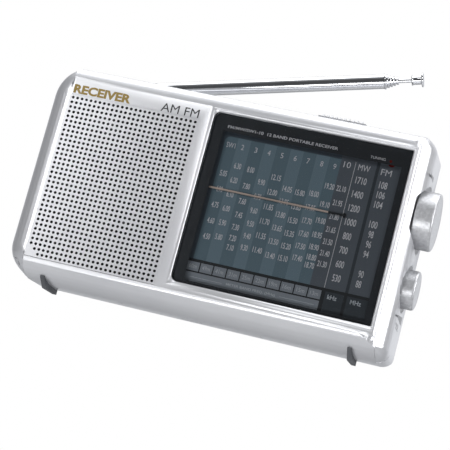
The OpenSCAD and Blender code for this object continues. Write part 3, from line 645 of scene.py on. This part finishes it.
STRIPES = [78.1, 83.5, 89.0, 94.8, 100.0, 105.9, 111.3, 116.7, 122.2, 127.0]
FIELD_LEFT, FIELD_RIGHT = 75.5, 151.45
MW_LEFT, MW_RIGHT, FM_LEFT = 133.9, 141.5, 142.8
# Heights of the dial's printed rows
FIELD_LOW, STRIPE_TOP, GREY_TOP, FIELD_TOP = 25.6, 78.0, 79.7, 81.0
BOX_TOP, BOX_LOW, NOTE_TOP, NOTE_LOW = 24.4, 20.7, 20.1, 15.4
BOX_LEFT, BOX_PITCH, BOX_GAP = 76.3, 5.65, 0.5
LABEL_Z, NOTE_Z, RULE_Z = 22.6, 18.2, 18.1
BAR_END = 127.2  # the pointer's tail beyond this is painted dark


def make_dial():
    """The dial card with its inks, in layers from the card outwards."""
    piece("dial_plate", from_cad("dial_scale"), M["dial_black"], "case",
          ["dial_scale"], placed=True)
    dial_fields(DIAL_FRONT - INK)
    dial_figures(DIAL_FRONT - 3 * INK)
    dial_labels(DIAL_FRONT - 3 * INK)


def dial_fields(front):
    """The coloured fields behind the figures."""
    edge = slab(FIELD_LEFT, STRIPES[-1], FIELD_LOW, FIELD_TOP, front, INK)
    piece("dial_edge_ink", edge, M["dial_edge"], "case")
    for shade, first in (("dial_teal", 0), ("dial_teal_light", 1)):
        bm = bmesh.new()
        for k in range(first, len(STRIPES) - 1, 2):
            corner = (2.2, 0, 0, 0) if k == 0 else (0, 0, 0, 0)
            join(bm, slab(STRIPES[k], STRIPES[k + 1], FIELD_LOW, STRIPE_TOP, front - INK,
                          INK, corner))
        piece(shade + "_ink", bm, M[shade], "case")
    grey = slab(STRIPES[-1], FIELD_RIGHT, FIELD_LOW, GREY_TOP, front, INK)
    piece("dial_grey_ink", grey, M["dial_grey"], "case")
    dark = slab(MW_RIGHT, FM_LEFT, FIELD_LOW, GREY_TOP, front - INK, INK)
    join(dark, slab(MW_LEFT, MW_RIGHT, NOTE_LOW, BOX_TOP, front - INK, INK))
    join(dark, slab(FM_LEFT, FIELD_RIGHT, NOTE_LOW, BOX_TOP, front - INK, INK))
    piece("dial_line_ink", dark, M["dial_line"], "case")
    boxes = bmesh.new()
    lefts = [BOX_LEFT + k * BOX_PITCH for k in range(len(METER_BANDS))]
    for left in lefts:
        join(boxes, slab(left, left + BOX_PITCH - BOX_GAP, BOX_LOW, BOX_TOP, front, INK))
    join(boxes, slab(BOX_LEFT, lefts[-1] + BOX_PITCH - BOX_GAP, NOTE_LOW + 0.9, NOTE_TOP,
                     front, INK, (0, 0, 0, 1.6)))
    piece("dial_box_ink", boxes, M["dial_box"], "case")


def dial_figures(front):
    """The headings and frequencies of every band, and the rule beside the medium waves."""
    figures = slab(132.9, 133.1, FIELD_LOW + 0.2, STRIPE_TOP, front, INK)
    for heading, x, top, bottom, bunch, values in DIAL_COLUMNS:
        z, height = (LONG_HEAD, 2.5) if heading in ("10", "MW", "FM") else (SHORT_HEAD, 2.2)
        wide = HEAD_WIDTH.get(heading, DIGIT_HEAD)
        join(figures, lettering(heading, x, z, height, wide, front))
        values = values.split()
        tall, digit = (2.9, 1.2) if heading in ("MW", "FM") else (2.4, 0.9)
        for k, value in enumerate(values):
            share = k / (len(values) - 1)
            if heading == "FM":
                first, this, last = float(values[0]), float(value), float(values[-1])
                share = (first - this) / (first - last)
            share += bunch * share * (1 - share)
            width = digit * (len(value) - 0.5 * value.count(".")) - digit * 0.25
            join(figures, lettering(value, x, top + (bottom - top) * share, tall, width,
                                    front, bold=0.012))
    piece("dial_figures", figures, M["dial_white"], "case")


def dial_labels(front):
    """The meter bands in their boxes, the note between two rules, and the units."""
    low = front + INK
    small = lettering("METER BAND FREQ. (MHz)", 104.3, NOTE_Z, height=1.3, width=20.5,
                      front=low, bold=0.012)
    for k, band in enumerate(METER_BANDS):
        join(small, lettering(band, BOX_LEFT + k * BOX_PITCH + 2.5, LABEL_Z, height=1.7,
                              width=3.3, front=low))
    for x0, x1 in ((78.6, 92.3), (116.3, 130.6)):
        join(small, slab(x0, x1, RULE_Z, RULE_Z + 0.15, low, INK))
    for unit, x, width in (("kHz", 137.0, 3.8), ("MHz", 146.6, 4.4)):
        join(small, lettering(unit, x, 22.4, height=1.8, width=width, front=front, bold=0.02))
    piece("dial_small_words", small, M["header_grey"], "case")


def make_pointer():
    """The pointer bar: cream in front of the short waves, dark beyond."""
    bar = from_cad("dial_pointer")
    end = LEFT_FACE + BAR_END * MM
    bmesh.ops.bisect_plane(bar, geom=everything(bar), dist=1e-7, plane_co=(end, 0, 0),
                           plane_no=(1, 0, 0))
    for face in bar.faces:
        face.material_index = 1 if face.calc_center_median().x > end else 0
    piece("pointer_bar", bar, [M["pointer_cream"], M["dial_black"]], "pointer",
          ["dial_pointer"], placed=True)


# ---------- controls ----------

RIB_DEPTH = 0.07


def make_knob(name, node, body, radius, axis_z, back, front, ribs):
    """A turned knob between two x planes: chamfered face, fine ribs round the barrel."""
    profile = [(back, 0), (back, radius - 0.6), (back + 0.4, radius), (front - 1.1, radius),
               (front - 0.75, radius - 0.05), (front - 0.25, radius - 0.3),
               (front, radius - 0.85), (front - 0.12, radius - 1.4), (front - 0.12, 0)]
    bm = turned(profile, 2 * ribs)
    for v in bm.verts:
        out = math.hypot(v.co.y, v.co.z)
        step = round(math.atan2(v.co.z, v.co.y) / math.tau * 2 * ribs)
        if out > radius - 0.02 and step % 2:
            v.co.y *= 1 - RIB_DEPTH / out
            v.co.z *= 1 - RIB_DEPTH / out
    bmesh.ops.translate(bm, vec=(0, 0, axis_z), verts=bm.verts)
    piece(name, bm, M["silver_knob"], body, [node], smooth=60)


def make_controls():
    """Both knobs and the band button."""
    make_knob("tuning_wheel", "tuning_knob", "tuning", radius=11.92, axis_z=63.0,
              back=160.35, front=168.4, ribs=160)
    make_knob("volume_wheel", "volume_knob", "volume", radius=7.97, axis_z=34.3,
              back=161.15, front=167.4, ribs=108)
    piece("band_button", from_cad("band_slider"), M["silver_case"], "band",
          ["band_slider"], placed=True)


# ---------- aerial ----------

# The body that each part of the aerial rides on
AERIAL = {"aerial_swivel": "swivel", "aerial_hinge_pin": "swivel", "aerial_tube_1": "tube_1",
          "aerial_tube_2": "tube_2", "aerial_tube_3": "tube_3", "aerial_tube_4": "tube_4",
          "aerial_tube_5": "tube_5", "aerial_rod": "rod", "aerial_tip": "rod"}


def make_aerial():
    """The swivel in plated steel, and the sections in chrome."""
    for node, body in AERIAL.items():
        finish = "plated_steel" if body == "swivel" else "aerial_chrome"
        piece(node + "_chromed", from_cad(node), M[finish], body, [node],
              placed=True)


# ---------- the inside ----------

INSIDE = {
    "case_screws": "screw_steel", "tuning_lamp": "red_lamp", "dial_chassis": "black_moulding",
    "pointer_carriage": "white_moulding", "guide_rod": "bright_steel",
    "pulley_right": "white_moulding", "pulley_left": "white_moulding",
    "pulley_axles": "bright_steel", "dial_drum": "white_moulding", "capacitor_shaft": "brass",
    "tuning_capacitor": "can_aluminium", "dial_cord": "dial_cord", "tuning_shaft": "bright_steel",
    "volume_shaft": "bright_steel", "volume_pot": "black_moulding",
    "band_switch": "black_moulding", "aerial_screw": "plated_steel", "aerial_lug": "brass",
    "speaker_frame": "plated_steel", "speaker_magnet": "ferrite", "speaker_cone": "paper_cone",
    "speaker_clamps": "plated_steel", "main_board": "board_green", "ferrite_rod": "ferrite",
    "ferrite_coil": "copper_wire", "ferrite_holders": "white_moulding",
    "if_transformers": "can_aluminium", "radio_chips": "black_moulding",
    "electrolytics": "blue_sleeve", "batteries": "cell_jacket",
    "battery_springs": "plated_steel", "battery_plates": "plated_steel",
    "earphone_jack": "black_moulding", "power_jack": "black_moulding", "wiring": "red_wire",
}


def finish_inside():
    """Give the CAD parts that stay as they are their finish."""
    for node, finish in INSIDE.items():
        slots = nodes[node].data.materials
        if len(slots):
            slots[0] = M[finish]
        else:
            slots.append(M[finish])


# ---------- studio ----------

FLOOR_DEPTH = -0.8  # metres
BACKDROP = "#eef0f4"
# Each soft box's place, aim and size in metres, and its power in watts
SOFT_BOXES = {
    "top_box": ((0.0, 0.05, 0.7), (0, 0, 0.04), (1.3, 0.7), 7),
    "left_box": ((-0.62, -0.8, 0.3), (0, 0, 0.05), (0.35, 0.5), 3.1),
    "front_box": ((0.45, -0.85, 0.3), (0, 0, 0.05), (0.5, 0.35), 1.3),
    "low_box": ((-0.15, -0.72, -0.36), (0, 0, 0.02), (0.9, 0.14), 2.6),
    "right_box": ((0.75, -0.12, 0.2), (0.05, 0, 0.05), (0.3, 0.7), 4.2),
}


def area_light(name, place_at, aim, size, power):
    """A rectangular soft box turned towards a point."""
    data = bpy.data.lights.new(name, "AREA")
    data.shape = "RECTANGLE"
    data.size, data.size_y = size
    data.energy = power
    lamp = bpy.data.objects.new(name, data)
    scene.collection.objects.link(lamp)
    lamp.location = place_at
    lamp.rotation_euler = (Vector(aim) - Vector(place_at)).to_track_quat("-Z", "Y").to_euler()


def make_world():
    """White to the camera. To the object, a dark room in front that opens to a white
    backdrop behind and a bright ceiling, so that the chrome has something to reflect."""
    world = bpy.data.worlds.new("white_studio")
    scene.world = world
    world.use_nodes = True
    tree = world.node_tree
    tree.nodes.clear()
    ahead = add(tree, "SeparateXYZ", {0: add(tree, "TexCoord").outputs["Generated"]})
    glow = add(tree, "MapRange", {"Value": ahead.outputs["Y"], "From Min": 0.45,
                                  "From Max": 0.95, "To Min": 0.1, "To Max": 1.0})
    shade = add(tree, "MapRange", {"Value": ahead.outputs["Z"], "From Min": -0.5,
                                   "From Max": 0.0, "To Min": 0.15, "To Max": 1.0})
    behind = add(tree, "Math", {0: glow.outputs["Result"], 1: shade.outputs["Result"]},
                 operation="MULTIPLY")
    above = add(tree, "MapRange", {"Value": ahead.outputs["Z"], "From Min": 0.45,
                                   "From Max": 0.9, "To Min": 0.0, "To Max": 0.75})
    level = add(tree, "Math", {0: behind.outputs[0], 1: above.outputs["Result"]},
                operation="MAXIMUM")
    lit = add(tree, "Background", {"Color": linear(BACKDROP), "Strength": level.outputs[0]})
    seen = add(tree, "Background", {"Color": (1, 1, 1, 1), "Strength": 1.0})
    sight = add(tree, "LightPath")
    both = add(tree, "MixShader", {0: sight.outputs["Is Camera Ray"], 1: lit.outputs[0],
                                   2: seen.outputs[0]})
    add(tree, "OutputWorld", {"Surface": both.outputs[0]})


def make_floor():
    """A wide sheet of pale paper."""
    bm = bmesh.new()
    bmesh.ops.create_grid(bm, x_segments=1, y_segments=1, size=4)
    bmesh.ops.translate(bm, vec=(0, 0, FLOOR_DEPTH), verts=bm.verts)
    mesh = bpy.data.meshes.new("floor")
    bm.to_mesh(mesh)
    bm.free()
    mesh.materials.append(surface("matt_paper_floor", "#dcdcdc", "#dedede", 0.9, mottle=200))
    floor = bpy.data.objects.new("floor", mesh)
    scene.collection.objects.link(floor)


def make_studio():
    """The world, the floor and the soft boxes."""
    scene.view_settings.view_transform = "Standard"
    make_world()
    make_floor()
    for name, settings in SOFT_BOXES.items():
        area_light(name, *settings)


M = make_materials()
set_camera()
make_case()
make_grille()
make_case_print()
make_window()
make_dial()
make_pointer()
make_controls()
make_aerial()
finish_inside()
make_studio()
